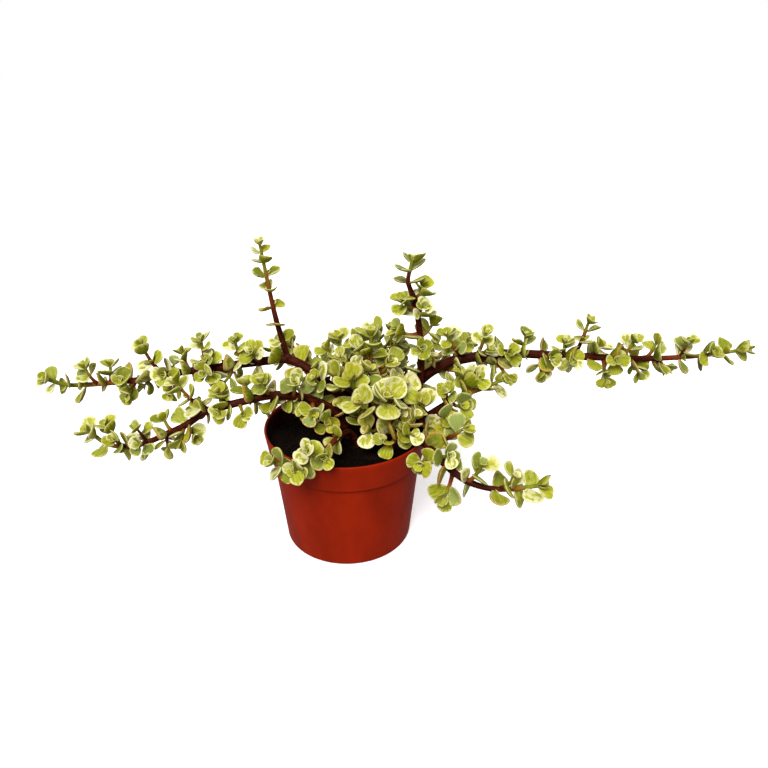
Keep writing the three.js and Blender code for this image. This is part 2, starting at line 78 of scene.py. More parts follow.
# Ways to bend a leaf clear of its neighbours: bend, swing and twist in degrees, and scale.
LEAF_TRIALS = (
    (0, 0, 0, 1.0), (14, 0, 0, 1.0), (-14, 0, 0, 1.0), (0, 20, 0, 1.0), (0, -20, 0, 1.0),
    (0, 0, 35, 1.0), (0, 0, -35, 1.0), (22, 15, 20, 0.9), (-22, -15, -20, 0.9),
    (0, 30, 30, 0.92), (0, -30, -30, 0.92), (30, 0, 0, 0.88), (-25, 0, 0, 0.88),
    (10, 45, 0, 0.86), (10, -45, 0, 0.86),
)


class Cutting(Values):
    """A cutting, with what holds where its own values say nothing else."""

    young = 0.7  # length of the leaves at a tip, by a grown leaf's
    spurs = 0.62  # chance of a spur at a node
    spurless = 0  # share of the stem, from its foot, that has no spurs
    paler = 0  # least paleness of its leaves
    larger = 1  # length of its leaves, by the CAD's
    ripe = 56  # distance from its tip over which the bark ripens from green to maroon


# Foot in the soil, radii at foot and tip, length of full-grown leaves, route, and shoots as
# (where along the stem, reach in x, y and z, leaf scale).
CUTTINGS = (
    Cutting(name="stem_left_upper", seed=11, foot=(3, 16), radii=(4, 1.4), leaf=14, route=(
        (0, 14, 98), (-8, 13, 112), (-23, 15, 124), (-41, 20, 134), (-75, 22, 130), (-109, 22, 125),
        (-135, 22, 121), (-156, 21, 117), (-184, 19, 115), (-203, 14, 116), (-216, 6, 125),
    ), shoots=(
        (0.367, -16, 9, 84, 0.76), (0.24, -10, -12, 12), (0.3, -8, -14, 0), (0.44, -4, -11, 13),
        (0.485, -4, -4, 19), (0.51, -8, -6, -12), (0.585, -2, 2, 22), (0.63, -6, 8, 11),
        (0.66, -4, -12, -11), (0.7, -13, 0, 24), (0.775, -4, -10, -7), (0.84, 0, 4, 12),
        (0.875, -7, 0, 13),
    ), spurs=0.9, paler=0.08, ripe=76),
    Cutting(name="stem_left_lower", seed=23, foot=(-1, 1), radii=(3.8, 1.3), leaf=13.5, route=(
        (-6, -1, 100), (-25, -5, 114), (-48, -9, 120), (-71, -13, 117), (-98, -18, 111),
        (-114, -22, 101), (-130, -24, 95), (-144, -26, 89), (-157, -28, 89), (-168, -30, 94),
        (-176, -30, 103),
    ), shoots=(
        (0.3, 2, -14, -2), (0.36, 3, -8, 14), (0.43, -4, -4, 13), (0.49, -2, 2, 11),
        (0.52, 4, -10, -3), (0.61, -23, 6, 19), (0.7, -2, -6, -9), (0.74, -5, 3, 8),
        (0.9, -8, 3, 14),
    ), young=0.8, spurs=0.85, paler=0.08, ripe=66),
    Cutting(name="stem_front_left", seed=31, foot=(8, -13), radii=(2.6, 1.2), leaf=13, route=(
        (3, -18, 95), (-5, -34, 99), (-16, -52, 97), (-30, -64, 96), (-44, -69, 103),
    ), shoots=(
        (0.7, 4, -10, 3), (0.76, -1, -6, 11), (0.84, -2, -10, 2),
    ), young=0.88, spurless=1, larger=0.9),
    Cutting(name="stem_front_right", seed=43, foot=(38, -12), radii=(3.6, 1.3), leaf=14.5, route=(
        (42, -15, 93), (50, -26, 96), (62, -44, 94), (75, -57, 86), (90, -64, 81), (106, -68, 81),
        (128, -71, 86),
    ), shoots=(
        (0.42, 27, -4, 14), (0.47, -7, -16, -1), (0.5, 8, -13, 6), (0.62, -6, -11, -13),
        (0.7, 7, -3, 14), (0.84, 7, -5, 12),
    ), young=0.85, spurless=0.6, ripe=28),
    Cutting(name="stem_right_long", seed=59, foot=(36, 24), radii=(4.5, 1.1), leaf=14, route=(
        (42, 24, 100), (55, 22, 117), (72, 21, 130), (92, 20, 136), (120, 22, 138), (168, 22, 136),
        (215, 20, 135), (257, 16, 139), (286, 12, 146),
    ), shoots=(
        (0.35, -14, -4, 20), (0.33, 9, -14, -10), (0.375, 5, -6, 20), (0.42, 9, -14, -11),
        (0.53, 0, -8, -11), (0.585, -1, -3, 12), (0.61, 8, 2, 26), (0.68, 2, -8, -14),
        (0.72, 7, -3, 15), (0.78, 8, 6, 10),
    ), spurs=0.95, ripe=90),
    Cutting(name="stem_right_upright", seed=61, foot=(43, 5), radii=(3.6, 1.3), leaf=12, route=(
        (50, 9, 104), (54, 13, 122), (54, 16, 146), (50, 18, 178), (44, 20, 196), (47, 20, 208),
    ), shoots=(
        (0.665, -16, 3, 2), (0.65, 9, 4, 8), (0.8, 4, 2, 13), (0.78, -10, -3, 8),
    ), young=0.85, spurs=0.9, spurless=0.5, larger=1.1, ripe=16),
    Cutting(name="stem_right_middle", seed=71, foot=(44, -4), radii=(3, 1.2), leaf=14.5, route=(
        (44, -7, 92), (55, -8, 100), (66, -7, 108), (80, -4, 115), (96, 1, 119), (112, 6, 124),
    ), shoots=(
        (0.36, -4, -12, 10), (0.44, 6, -14, 0), (0.5, -6, -10, 16), (0.55, 8, -16, 4),
        (0.66, 6, -12, 3), (0.74, 2, 4, 14), (0.82, 2, -4, 12),
    ), young=0.88),
    Cutting(name="stem_centre_front", seed=83, foot=(22, -10), radii=(2.9, 1.4), leaf=16.5, route=(
        (24, -11, 98), (27, -13, 112), (29, -20, 124),
    ), shoots=(
        (0.5, 13, -9, 10), (0.56, -6, -10, 4), (0.64, 14, -7, 10), (0.74, -14, -7, 12),
        (0.8, 12, 2, 16),
    ), young=0.95, spurless=0.6, paler=0.3, larger=1.06),
    Cutting(name="stem_centre_left", seed=97, foot=(-8, -6), radii=(2.4, 1.2), leaf=13.5, route=(
        (-12, -7, 94), (-20, -6, 102), (-29, -8, 110),
    ), shoots=(
        (0.52, 2, -9, 2), (0.7, 3, -12, 6),
    ), young=0.9, spurless=0.6, larger=0.92),
    Cutting(name="stem_centre_middle", seed=101, foot=(14, 6), radii=(3, 1.4), leaf=16, route=(
        (11, 5, 98), (8, 3, 114), (4, -2, 128),
    ), shoots=(
        (0.5, -5, -13, 12), (0.6, -14, -6, 9), (0.72, 13, -6, 10), (0.8, -15, 4, 12),
        (0.86, 9, 8, 12),
    ), young=0.92, paler=0.12),
    Cutting(name="stem_centre_top", seed=113, foot=(20, 20), radii=(3, 1.3), leaf=14.5, route=(
        (20, 22, 100), (18, 26, 122), (18, 27, 150),
    ), shoots=(
        (0.52, -18, 2, 12), (0.62, -24, 6, 18), (0.66, 14, -6, 16), (0.78, -8, -4, 14),
    ), young=0.85),
    Cutting(name="stem_top_left", seed=117, foot=(6, 32), radii=(2.8, 1.2), leaf=14.5, route=(
        (3, 33, 100), (-3, 37, 122), (-6, 38, 143),
    ), shoots=(
        (0.6, -16, -2, 30), (0.68, -2, -12, 16), (0.75, 11, -2, 24),
    ), young=0.85),
    Cutting(name="stem_top_right", seed=127, foot=(22, 37), radii=(2.9, 1.2), leaf=14, route=(
        (30, 37, 102), (29, 40, 126), (20, 41, 148),
    ), shoots=(
        (0.62, 3, -2, 38), (0.8, 10, -4, 11),
    ), young=0.85),
    Cutting(name="stem_low_front", seed=131, foot=(33, -22), radii=(2.3, 1.2), leaf=14.5, route=(
        (36, -24, 94), (42, -26, 104), (49, -28, 112),
    ), shoots=(
        (0.6, -7, -8, 5), (0.75, 7, -8, 3),
    ), young=0.9, spurless=1, larger=0.9),
    Cutting(name="stem_back_left", seed=139, foot=(-12, 30), radii=(3.2, 1.2), leaf=13.5, route=(
        (-15, 34, 98), (-25, 47, 112), (-38, 66, 118), (-50, 86, 116), (-58, 102, 112),
    ), shoots=(
        (0.4, -8, -2, 14), (0.52, 8, 8, 12),
    )),
    Cutting(name="stem_back_middle", seed=149, foot=(12, 41), radii=(3, 1.2), leaf=13.5, route=(
        (14, 49, 98), (12, 62, 112), (12, 80, 114), (16, 98, 108),
    ), shoots=(
        (0.45, 10, 4, 14), (0.62, -10, 8, 10),
    )),
    Cutting(name="stem_back_right", seed=151, foot=(30, 33), radii=(3.2, 1.2), leaf=13.5, route=(
        (33, 31, 93), (46, 39, 104), (61, 50, 113), (76, 66, 120), (90, 84, 118), (100, 102, 114),
    ), shoots=(
        (0.42, -4, 8, 14), (0.54, 14, 2, 8),
    )),
)

# ---- growth, as in the CAD


def random_from(seed):
    """Seeded draws between 0 and 1."""
    state = seed * SEED_STEP + SEED_START

    def draw():
        nonlocal state
        state = (state * MULTIPLIER) % MODULUS
        return state / MODULUS

    return draw


def unit(vector):
    return vector / sqrt(vector @ vector)


def even_places(points, step, samples):
    """Places at even steps along the Catmull-Rom curve through points."""
    points = np.array(points, float)
    last = len(points) - 1
    padded = np.concatenate(([2 * points[0] - points[1]], points,
                             [2 * points[last] - points[last - 1]]))
    position = last * (np.arange(last * samples + 1) / (last * samples))
    span = np.minimum(position.astype(int), last - 1)
    w = (position - span)[:, None]
    p0, p1, p2, p3 = (padded[span + k] for k in range(4))
    t0, t1 = 0.5 * (p2 - p0), 0.5 * (p3 - p1)
    c2 = -3 * p1 + 3 * p2 - 2 * t0 - t1
    c3 = 2 * p1 - 2 * p2 + t0 + t1
    fine = p1 + t0 * w + c2 * w * w + c3 * w * w * w
    gaps = np.sqrt(((fine[1:] - fine[:-1]) ** 2).sum(axis=1))
    reached = np.concatenate(([0.0], np.cumsum(gaps)))
    steps = max(2, int(reached[-1] / step + 0.5))
    wanted = reached[-1] * np.arange(steps + 1) / steps
    return np.stack([np.interp(wanted, reached, fine[:, k]) for k in range(3)], axis=1)


def line_through(points, side, step, samples=STEM.samples_per_span):
    """A smooth line through points, with directions and sides carried without twist."""
    places = even_places(points, step, samples)
    padded = np.concatenate((places[:1], places, places[-1:]))
    directions = np.array([unit(after - before) for before, after in zip(padded, padded[2:])])
    sides, reached, carried = [], [0.0], np.array(side, float)
    for direction in directions:
        carried = unit(carried - direction * (carried @ direction))
        sides.append(carried)
    for gap in np.diff(places, axis=0):
        reached.append(reached[-1] + sqrt(gap @ gap))
    return Values(places=places, directions=directions, sides=np.array(sides),
                  reached=np.array(reached), length=reached[-1])


def along(line, distance):
    """Place, direction and side at a distance along a line."""
    i = np.clip(np.searchsorted(line.reached, distance), 1, len(line.reached) - 1)
    low, high = line.reached[i - 1:i + 1]
    share = (distance - low) / (high - low)
    place, direction, side = (values[i - 1] + (values[i] - values[i - 1]) * share
                              for values in (line.places, line.directions, line.sides))
    return place, unit(direction), unit(side)


def radius_at(stem, distance):
    low, high = stem.radii
    return low + (high - low) * distance / stem.line.length


def side_stem(main, distance, points, step, radii, bare, scale, young):
    """A stem from the main one, with no leaves until it is past the bark by bare."""
    parent_radius = radius_at(main, distance)
    return Values(line=line_through(points, (0, 1, 0.1), step), radii=radii, young=young,
                  bare=parent_radius + bare, leaf=main.leaf * scale,
                  parent_radius=parent_radius)


def grow_shoot(main, at, dx, dy, dz, scale=0.94):
    """A side shoot, bent upward from the main stem to its reach."""
    distance = at * main.line.length
    start = along(main.line, distance)[0]
    reach = np.array((dx, dy, dz), float)
    length = sqrt(reach @ reach)
    middle = start + reach * 0.5
    middle[2] -= length * SHOOT.sag
    foot_radius = min(SHOOT.thinnest + length / SHOOT.per_length,
                      radius_at(main, distance) * SHOOT.of_parent)
    return side_stem(main, distance, (start, middle, start + reach), SHOOT.step,
                     (foot_radius, SHOOT.tip), SHOOT.bare, scale, main.young)


def grow_stems(cutting):
    """The main stem and side shoots of a cutting."""
    x, y = cutting.foot
    low, high = SOIL.top - STEM.depth, SOIL.top + STEM.collar
    buried = ((x, y, low), (x, y, (low + high) / 2), (x, y, high))
    main = Values(line=line_through(buried + cutting.route, (1, 0, 0), STEM.step),
                  radii=cutting.radii, bare=STEM.depth + STEM.bare, leaf=cutting.leaf,
                  young=cutting.young, parent_radius=None)
    return [main] + [grow_shoot(main, *shoot) for shoot in cutting.shoots]


def turned(vector, axis, angle):
    return (vector * cos(angle) + np.cross(axis, vector) * sin(angle)
            + axis * (axis @ vector) * (1 - cos(angle)))


def outward(direction, side, turn):
    """Away from a stem, turned round it from its side."""
    return side * cos(turn) + np.cross(direction, side) * sin(turn)


def leaf_frame(node, radius, turn, bend, twist, length):
    """A leaf turned to the light, as root, axis, face and side with its size."""
    place, direction, side = node
    out = outward(direction, side, turn)
    axis = out * sin(bend) + direction * cos(bend)
    pull = LIGHT_PULL * (1 - UPRIGHT_LOSS * direction[2] ** 6)
    face = direction * sin(bend) - out * cos(bend) + LIGHT * pull
    face = unit(face - axis * (face @ axis))
    face = turned(face, axis, twist)
    return Values(root=place + out * radius * LEAF.sunk, axis=axis, face=face,
                  side=np.cross(face, axis), length=length, half=length * LEAF.width / 2)


class Placed:
    """Everything placed so far, as spheres: where, how large, and on which stem."""

    def __init__(self, room=40000):
        self.count = 0
        self.centre = np.zeros((room, 3))
        self.radius, self.reached = np.zeros(room), np.zeros(room)
        self.cutting, self.stem = np.zeros(room, int), np.zeros(room, int)

    def add(self, centre, radius, reached, cutting, stem):
        here = slice(self.count, self.count + len(centre))
        self.centre[here], self.radius[here], self.reached[here] = centre, radius, reached
        self.cutting[here], self.stem[here] = cutting, stem
        self.count = here.stop

    def meets(self, centre, radius, reached, stem):
        """Whether spheres at a distance along their stem meet any that are placed."""
        n = self.count
        near = radius + self.radius[:n]
        same = self.cutting[:n] == stem.cutting
        own = same & (self.stem[:n] == stem.number)
        near = np.where(same, np.where(own, near, near * LEAF.overlap), near + LEAF.clearance)
        near[own & (np.abs(self.reached[:n] - reached) < LEAF.own_reach)] = 0
        gap = centre[:, None, :] - self.centre[None, :n, :]
        return bool(((gap ** 2).sum(axis=2) < near ** 2).any())


placed = Placed()
LEAF_SPHERE = -1  # stands where a stem's number would, on a leaf's spheres


def leaf_spheres(leaf):
    """Spheres over a leaf: their centres and radius."""
    centre = [leaf.root + leaf.axis * u * leaf.length + leaf.side * v * leaf.half
              for u, v in LEAF_PROBES]
    return np.array(centre), LEAF.probe * leaf.length


def pot_outside(z):
    if z < BAND_FOOT:
        return POT.base_radius + (POT.neck_radius - POT.base_radius) * z / BAND_FOOT
    share = (z - BAND_FOOT) / POT.band_height
    return POT.band_foot_radius + (POT.rim_radius - POT.band_foot_radius) * share


def pot_inside(z):
    return pot_outside(z) - POT.wall


def meets_pot(point, radius):
    """Whether a sphere meets the pot's wall or the soil."""
    margin = radius + POT.margin
    reach = hypot(point[0], point[1])
    level = min(point[2], POT.height)
    if point[2] > POT.height + margin or reach > pot_outside(level) + margin:
        return False
    return reach > pot_inside(level) - margin or point[2] < SOIL.top + SOIL.margin + margin


def fit_leaf(stem, distance, turn, bend, twist, length):
    """A leaf bent clear of what is there already, or None where there is no room."""
    node, wood = along(stem.line, distance), radius_at(stem, distance)
    for more_bend, swing, more_twist, scale in LEAF_TRIALS:
        leaf = leaf_frame(node, wood, turn + radians(swing),
                          bend + radians(more_bend), twist + radians(more_twist),
                          length * scale)
        centre, radius = leaf_spheres(leaf)
        if any(meets_pot(point, radius) for point in centre):
            continue
        if not placed.meets(centre, radius, distance, stem):
            return leaf
    return None


def keep_leaf(stem, leaf, distance, pair):
    """Adds a leaf to its stem; pair counts from the tip."""
    leaf.distance, leaf.pair = distance, pair
    stem.leaves.append(leaf)
    placed.add(*leaf_spheres(leaf), distance, stem.cutting, LEAF_SPHERE)


def grow_leaves(stem, draw):
    """Crossed pairs of leaves from a stem's tip back to its bare foot."""
    stem.leaves, stem.nodes = [], []
    phase = draw() * pi
    distance = stem.line.length - LEAF.tip_inset
    pair = 0
    while distance > stem.bare:
        size = stem.leaf * min(1, stem.young + LEAF.growth * pair)
        node_turn = phase + pair * pi / 2
        stem.nodes.append((distance, node_turn))
        lean = radians(min(LEAN.most, LEAN.young + LEAN.growth * pair))
        couple = []
        for side in (0, pi):
            turn = node_turn + side + radians(LEAN.turn) * (draw() - 0.5)
            bend = lean + radians(LEAN.drawn) * (draw() - 0.5)
            twist = radians(LEAN.twist) * (draw() - 0.5)
            length = size * (LEAF.least + LEAF.drawn * draw())
            couple.append(fit_leaf(stem, distance, turn, bend, twist, length))
        for leaf in filter(None, couple):
            keep_leaf(stem, leaf, distance, pair)
        gap = stem.leaf * min(LEAF.widest_gap, LEAF.young_gap + LEAF.gap_growth * pair)
        distance -= gap * (LEAF.least_gap + LEAF.drawn_gap * draw())
        pair += 1


def stem_spheres(stem):
    """Spheres along a stem: centres, radii and how far along."""
    count = ceil(stem.line.length / STEM.sphere_step)
    reached = stem.line.length * np.arange(count + 1) / count
    centre = np.array([along(stem.line, distance)[0] for distance in reached])
    return centre, radius_at(stem, reached), reached


def grow_plant():
    """The stems and leaves of all cuttings, in the CAD's order."""
    for k, cutting in enumerate(CUTTINGS):
        cutting.stems = grow_stems(cutting)
        for number, stem in enumerate(cutting.stems):
            stem.cutting, stem.number = k, number
            placed.add(*stem_spheres(stem), k, number)
    for cutting in CUTTINGS:
        draw = random_from(cutting.seed)
        for stem in cutting.stems:
            grow_leaves(stem, draw)


# ---- spurs, buds and axil leaves

SPUR = Values(first_pair=3, above=1.5, shortest=8, drawn=6, radii=(1.3, 0.8), turn=30, lean=0.7,
              sag=0.1, bare=2, leaf=0.92, young=0.75, fewest=4, clearance=0.8, pot_clearance=2)
# Ways to lean a spur clear: how far along the stem, and a swing in degrees.
SPUR_TRIALS = ((0.35, 0), (0.35, 35), (0.35, -35), (0.8, 0), (0.1, 70), (0.1, -70))
BUDS = ((0.5, 90, 24), (0.3, 0, 12))  # at each tip: share of a leaf's length, turn, bend
BUD = Values(inset=0.3, turn=0.3, bend=12, twist=30, least=0.85, drawn=0.3)
AXIL = Values(chance=0.32, first_pair=2, above=1.3, shortest=0.28, longest=0.5, turn=0.5,
              bend=48, drawn_bend=30, twist=80)


def spur_from(main, distance, turn, forward, length):
    """A short shoot from a node, leaning along the stem by forward and to the light."""
    place, direction, side = along(main.line, distance)
    out = outward(direction, side, turn)
    heading = unit(out + direction * forward + LIGHT * SPUR.lean)
    middle = place + heading * length / 2 - LIGHT * length * SPUR.sag
    return side_stem(main, distance, (place, middle, place + heading * length), length / 4,
                     SPUR.radii, SPUR.bare, SPUR.leaf, SPUR.young)


def grow_spur(main, number, distance, turn, draw):
    """A leafy spur where there is room for one, or None."""
    length = SPUR.shortest + SPUR.drawn * draw()
    lean = radians(SPUR.turn) * (draw() - 0.5)
    before = placed.count
    for forward, swing in SPUR_TRIALS:
        spur = spur_from(main, distance, turn + lean + radians(swing), forward, length)
        spur.cutting, spur.number = main.cutting, number
        spheres = stem_spheres(spur)
        if any(placed.meets(centre[None], radius + SPUR.clearance, reached, spur)
               or meets_pot(centre, radius + SPUR.pot_clearance)
               for centre, radius, reached in zip(*spheres) if reached > spur.bare):
            continue
        placed.add(*spheres, main.cutting, number)
        grow_leaves(spur, draw)
        if len(spur.leaves) >= SPUR.fewest:
            return spur
        placed.count = before
    return None


def add_spurs():
    """Short leafy spurs from the older nodes of the main stems."""
    for cutting in CUTTINGS:
        draw = random_from(cutting.seed + SEEDS.spurs)
        main = cutting.stems[0]
        lowest = cutting.spurless * main.line.length
        for pair, (distance, turn) in enumerate(main.nodes):
            for side in (0, pi):
                wanted = draw() < cutting.spurs and distance > lowest
                if pair < SPUR.first_pair or not wanted:
                    continue
                spur = grow_spur(main, len(cutting.stems), distance + SPUR.above, turn + side, draw)
                if spur is not None:
                    cutting.stems.append(spur)


def add_buds(stem, draw):
    """The closed pairs of young leaves at a stem's tip."""
    distance = stem.line.length - BUD.inset
    node, radius = along(stem.line, distance), radius_at(stem, distance)
    first_turn = stem.nodes[0][1] if stem.nodes else 0.0
    for share, turn, bend in BUDS:
        for side in (0, pi):
            leaf = leaf_frame(node, radius,
                              first_turn + radians(turn) + side + BUD.turn * (draw() - 0.5),
                              radians(bend + BUD.bend * (draw() - 0.5)),
                              radians(BUD.twist) * (draw() - 0.5),
                              stem.leaf * share * (BUD.least + BUD.drawn * draw()))
            leaf.distance, leaf.pair = distance, -1
            stem.leaves.append(leaf)


def add_axil_leaves(stem, draw):
    """Small young leaves in the axils, where there is room for them."""
    for pair, (distance, turn) in enumerate(stem.nodes):
        at = distance + AXIL.above
        if pair < AXIL.first_pair or at > stem.line.length:
            continue
        for side in (0, pi / 2, pi, 1.5 * pi):
            wanted = draw() < AXIL.chance
            share = AXIL.shortest + (AXIL.longest - AXIL.shortest) * draw()
            bend = radians(AXIL.bend + AXIL.drawn_bend * (draw() - 0.5))
            twist = radians(AXIL.twist) * (draw() - 0.5)
            if not wanted:
                continue
            leaf = fit_leaf(stem, at, turn + side + AXIL.turn * (draw() - 0.5), bend, twist,
                            stem.leaf * share)
            if leaf is not None:
                keep_leaf(stem, leaf, at, 0)


def add_young_leaves():
    for cutting in CUTTINGS:
        draw = random_from(cutting.seed + SEEDS.young)
        for stem in cutting.stems:
            add_axil_leaves(stem, draw)
            add_buds(stem, draw)


# ---- meshes


def add_object(name, data):
    thing = bpy.data.objects.new(name, data)
    bpy.context.collection.objects.link(thing)
    return thing


class Bundle:
    """Meshes gathered into one, with the named values of their vertices."""

    def __init__(self):
        self.points, self.faces, self.layers, self.count = [], [], {}, 0

    def add(self, points, faces, **layers):
        self.points.append(points)
        self.faces += [tuple(v + self.count for v in face) for face in faces]
        self.count += len(points)
        for name, values in layers.items():
            self.layers.setdefault(name, []).append(values)

    def make(self, name, node, slot_name, material):
        """A smooth piece in metres that stands for a CAD node."""
        mesh = bpy.data.meshes.new(name)
        mesh.from_pydata((np.concatenate(self.points) * MM).tolist(), [], self.faces)
        mesh.polygons.foreach_set("use_smooth", [True] * len(mesh.polygons))
        mesh.materials.append(material)
        mesh.update()
        for layer_name, parts in self.layers.items():
            values = np.concatenate(parts).astype(np.float32)
            kind, field = ("FLOAT", "value") if values.ndim == 1 else ("FLOAT_VECTOR", "vector")
            layer = mesh.attributes.new(layer_name, kind, "POINT")
            layer.data.foreach_set(field, values.ravel())
        piece = add_object(name, mesh)
        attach(piece, "root")
        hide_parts(node)
        return piece


def turns_round(count):
    return tau * np.arange(count) / count


def shell_faces(rings, count):
    """Faces over rings of count vertices each, from a vertex before them to one after them."""
    pairs = [(k, (k + 1) % count) for k in range(count)]
    last = 1 + (rings - 1) * count
    faces = [(0, 1 + b, 1 + a) for a, b in pairs]
    faces += [(i + a, i + b, i + count + b, i + count + a)
              for i in range(1, last, count) for a, b in pairs]
    return faces + [(last + a, last + b, last + count) for a, b in pairs]


# ---- leaves

BLADE = Values(centre=0.56, thickness=0.18, above=0.18, petiole=0.6, grown=13, flat=2.8)
CELL_MARGIN = 0.06

# A leaf's fineness by its length: from how long on, sectors, and rings on top and beneath.
FINENESS = (
    (9.0, 24, (0.3, 0.55, 0.75, 0.88, 0.96, 1.0), (0.96, 0.82, 0.5)),
    (5.0, 18, (0.4, 0.75, 0.92, 1.0), (0.94, 0.6)),
    (0.0, 12, (0.5, 0.9, 1.0), (0.7,)),
)


def dome(share):
    """How much of a leaf's thickness is left, by the share of the way out to its edge."""
    return np.sqrt(np.clip(1 - share ** BLADE.flat, 0, 1))


def blade_template(n, top_rings, under_rings):
    """A leaf's rings from the middle of its top round its edge to the middle beneath."""
    rings = top_rings + under_rings
    share = np.pad(np.repeat(rings, n), 1)
    turn = np.pad(np.tile(turns_round(n), len(rings)), 1)
    template = Values(faces=shell_faces(len(rings), n), share=share, turn=turn,
                      below=np.arange(len(share)) > len(top_rings) * n)
    template.corners, template.corner_under = template_corners(template, len(top_rings) * n)
    return template


def template_corners(template, top_faces):
    """Where a leaf's face corners lie in its two cells of the map, as reach and turn."""
    share, turn = template.share, template.turn
    reach = share + 0.35 * (1 - dome(share))
    reach = reach / reach.max()
    x, y = -np.cos(turn) * reach / 2, np.sin(turn) * reach / 2
    corners = [v for face in template.faces for v in face]
    on_top = sum(len(face) for face in template.faces[:top_faces])
    under = np.arange(len(corners)) >= on_top
    return np.stack((x[corners], np.where(under, -y[corners], y[corners])), axis=1), under


TEMPLATES = [(least, blade_template(*rings)) for least, *rings in FINENESS]


def blade_outline(turn, leaf, form):
    """Places on a leaf's edge, in millimetres along it and to its side."""
    u = (1 - np.cos(turn)) / 2
    peak = form.rise / (form.rise + form.fall)
    widest = peak ** form.rise * (1 - peak) ** form.fall
    width = u ** form.rise * (1 - u) ** form.fall / widest * leaf.half * form.full
    petiole = BLADE.petiole * np.clip(1 - u / 0.3, 0, 1) * np.abs(np.sin(turn)) ** 0.3
    side = np.hypot(width, petiole) * np.sign(np.sin(turn))
    lopsided = 1 + form.lopsided * np.sign(np.sin(turn))
    ripple = 1 + form.ripple * np.sin(3 * turn + form.phase) * np.abs(np.sin(turn))
    notched = 1 - form.notch * np.exp(-((turn - pi) / 0.25) ** 2)
    return u * leaf.length * notched, side * lopsided * ripple


def leaf_form(draw):
    """How one leaf differs from the next."""
    return Values(
        rise=0.84 + 0.4 * draw(), fall=0.38 + 0.32 * draw(), full=0.9 + 0.13 * draw(),
        lopsided=0.12 * (draw() - 0.5), ripple=0.05 * draw(), phase=tau * draw(),
        notch=0.05 * (draw() - 0.5), arch=0.75 * (draw() - 0.62), cup=0.48 * (draw() - 0.12),
        wave=0.035 * draw(), wave_phase=tau * draw(), offset=100 * draw(),
    )


def leaf_mesh(leaf, form, template):
    """A leaf's vertices, their places in it, and their distance from its edge as if grown."""
    share, turn = template.share, template.turn
    edge_x, edge_y = blade_outline(turn, leaf, form)
    middle = BLADE.centre * leaf.length
    x = middle + (edge_x - middle) * share
    y = edge_y * share
    u = np.clip(x / leaf.length, 0, 1)
    thickness = BLADE.thickness * leaf.length * (0.8 + 0.2 * np.sin(pi * u))
    level = np.where(template.below, BLADE.above - 1, BLADE.above) * thickness * dome(share)
    arch = 0.5 * form.arch * x * x / leaf.length
    cup = form.cup * y * y / leaf.half
    wave = form.wave * leaf.length * np.sin(2 * turn + form.wave_phase) * share ** 3
    z = level + arch + cup + wave * np.clip(3 * u, 0, 1)
    points = (leaf.root + x[:, None] * leaf.axis + y[:, None] * leaf.side
              + z[:, None] * leaf.face)
    inset = (1 - share) * np.hypot(edge_x - middle, edge_y) * BLADE.grown / leaf.length
    return points, np.stack((x, y, np.full_like(x, form.offset)), axis=1), inset


def leaf_colours(leaf, palest, draw):
    """How pale, how yellow and how flushed one leaf is."""
    pale = palest + (1 - palest) * draw() ** 5
    yellow = 0.1 + 1.5 * palest + 0.65 * draw() + 0.35 * max(0, 2 - leaf.pair) / 2
    old = min(1.0, max(0, leaf.pair - 1) / 4)
    x, y, z = leaf.root
    low = 1.8 * exp(-((x - 20) ** 2 + y * y) / 2200) * max(0.0, min(1.0, (135 - z) / 30))
    flushed = (1.1 * old + low) * max(0.0, draw() - 0.35) * 1.6
    return pale, min(1.0, yellow), min(1.0, flushed)


def make_leaves(cutting, material):
    """All leaves of a cutting as one piece."""
    draw = random_from(cutting.seed + SEEDS.leaves)
    leaves = [(leaf, stem) for stem in cutting.stems for leaf in stem.leaves]
    cells = ceil(sqrt(2 * len(leaves)))
    bundle, corners = Bundle(), []
    for i, (leaf, stem) in enumerate(leaves):
        form = leaf_form(draw)
        template = next(made for least, made in TEMPLATES if leaf.length >= least)
        leaf.root = leaf.root + smooth_shift(stem, leaf.distance)
        leaf.length, leaf.half = leaf.length * cutting.larger, leaf.half * cutting.larger
        points, place, inset = leaf_mesh(leaf, form, template)
        bundle.add(points, template.faces, place=place, inset=inset,
                   kind=np.tile(leaf_colours(leaf, cutting.paler, draw), (len(points), 1)),
                   beneath=template.below)
        cell = 2 * i + template.corner_under
        middle = np.stack((cell % cells, cell // cells), axis=1) + 0.5
        corners.append((middle + template.corners * (1 - 2 * CELL_MARGIN)) / cells)
    piece = bundle.make(f"{cutting.name}_leaves", cutting.name, "leaf", material)
    bake_map = piece.data.uv_layers.new(name="OFBake")  # each leaf's top and underside get cells of their own in this map
    bake_map.data.foreach_set("uv", np.concatenate(corners).astype(np.float32).ravel())


# ---- wood

BARK = Values(step=0.9, samples=16, sides=14, shoot_sides=10, swell=0.16, scar_gap=11, full=0.5)
CAP = ((0.35, 0.92), (0.75, 0.6))  # beyond the tip, in radii: how far and how wide

# Distance from the tip over which the bark of side stems ripens.
RIPE = Values(long_from=60, long_shoot=62, shoot=20, spur=9)


def ripening(stem, cutting):
    if stem.parent_radius is None:
        return cutting.ripe
    if stem.line.length > RIPE.long_from:
        return RIPE.long_shoot
    return RIPE.spur if stem.radii == SPUR.radii else RIPE.shoot


def smooth_shift(stem, distance):
    """From the CAD's straight steps to the smooth line, at a distance along it."""
    share = distance / stem.line.length
    return along(stem.smooth, share * stem.smooth.length)[0] - along(stem.line, distance)[0]


def bark_nodes(stem, draw):
    """Distances and turns of all nodes, also on the bare part, where old leaves fell."""
    nodes = list(stem.nodes)
    distance, turn = nodes[-1] if nodes else (stem.bare, 0.0)
    while distance > BARK.scar_gap * 1.2:
        distance -= BARK.scar_gap * (0.8 + 0.4 * draw())
        turn += pi / 2
        nodes.append((distance, turn))
    return nodes


